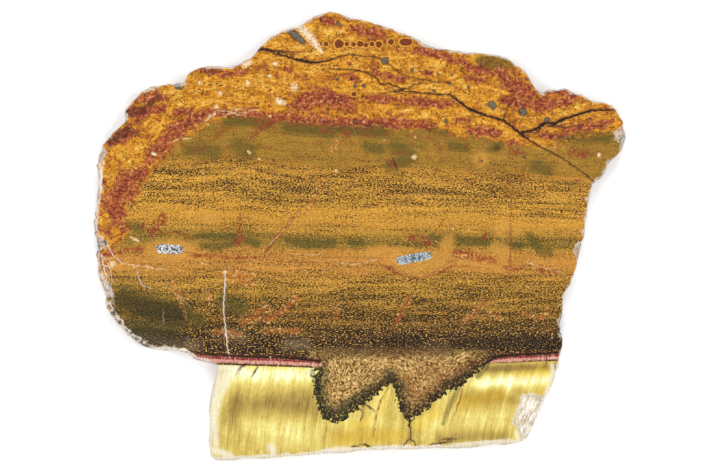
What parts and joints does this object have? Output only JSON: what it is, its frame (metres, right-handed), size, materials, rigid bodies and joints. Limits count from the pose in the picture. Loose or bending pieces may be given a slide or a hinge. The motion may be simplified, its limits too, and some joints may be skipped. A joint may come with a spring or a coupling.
{
  "type": "polished tiger eye slab",
  "caption": "Flat sawn slice of layered golden-brown tiger eye with one polished face, an irregular broken edge and small crystal-lined hollows.",
  "frame": {"origin": "on the sawn back, under the middle of the slab's outline", "axes": "+X along the longest side, to the right in the picture; +Y across the layers, away from the golden fibre seam; +Z out of the polished face"},
  "size_m": [0.161, 0.1354, 0.007],
  "materials": {
    "polished_tiger_eye": "golden, red and brown layered quartz rock, polished on the upper face, sawn matt on the back, rough at the edge",
    "quartz_crystals": "tiny clear to grey quartz crystals with dark gaps"
  },
  "bodies": {
    "root": {"slab": "polished_tiger_eye", "pocket_crystals_left": "quartz_crystals", "pocket_crystals_right": "quartz_crystals"}
  },
  "joints": []
}
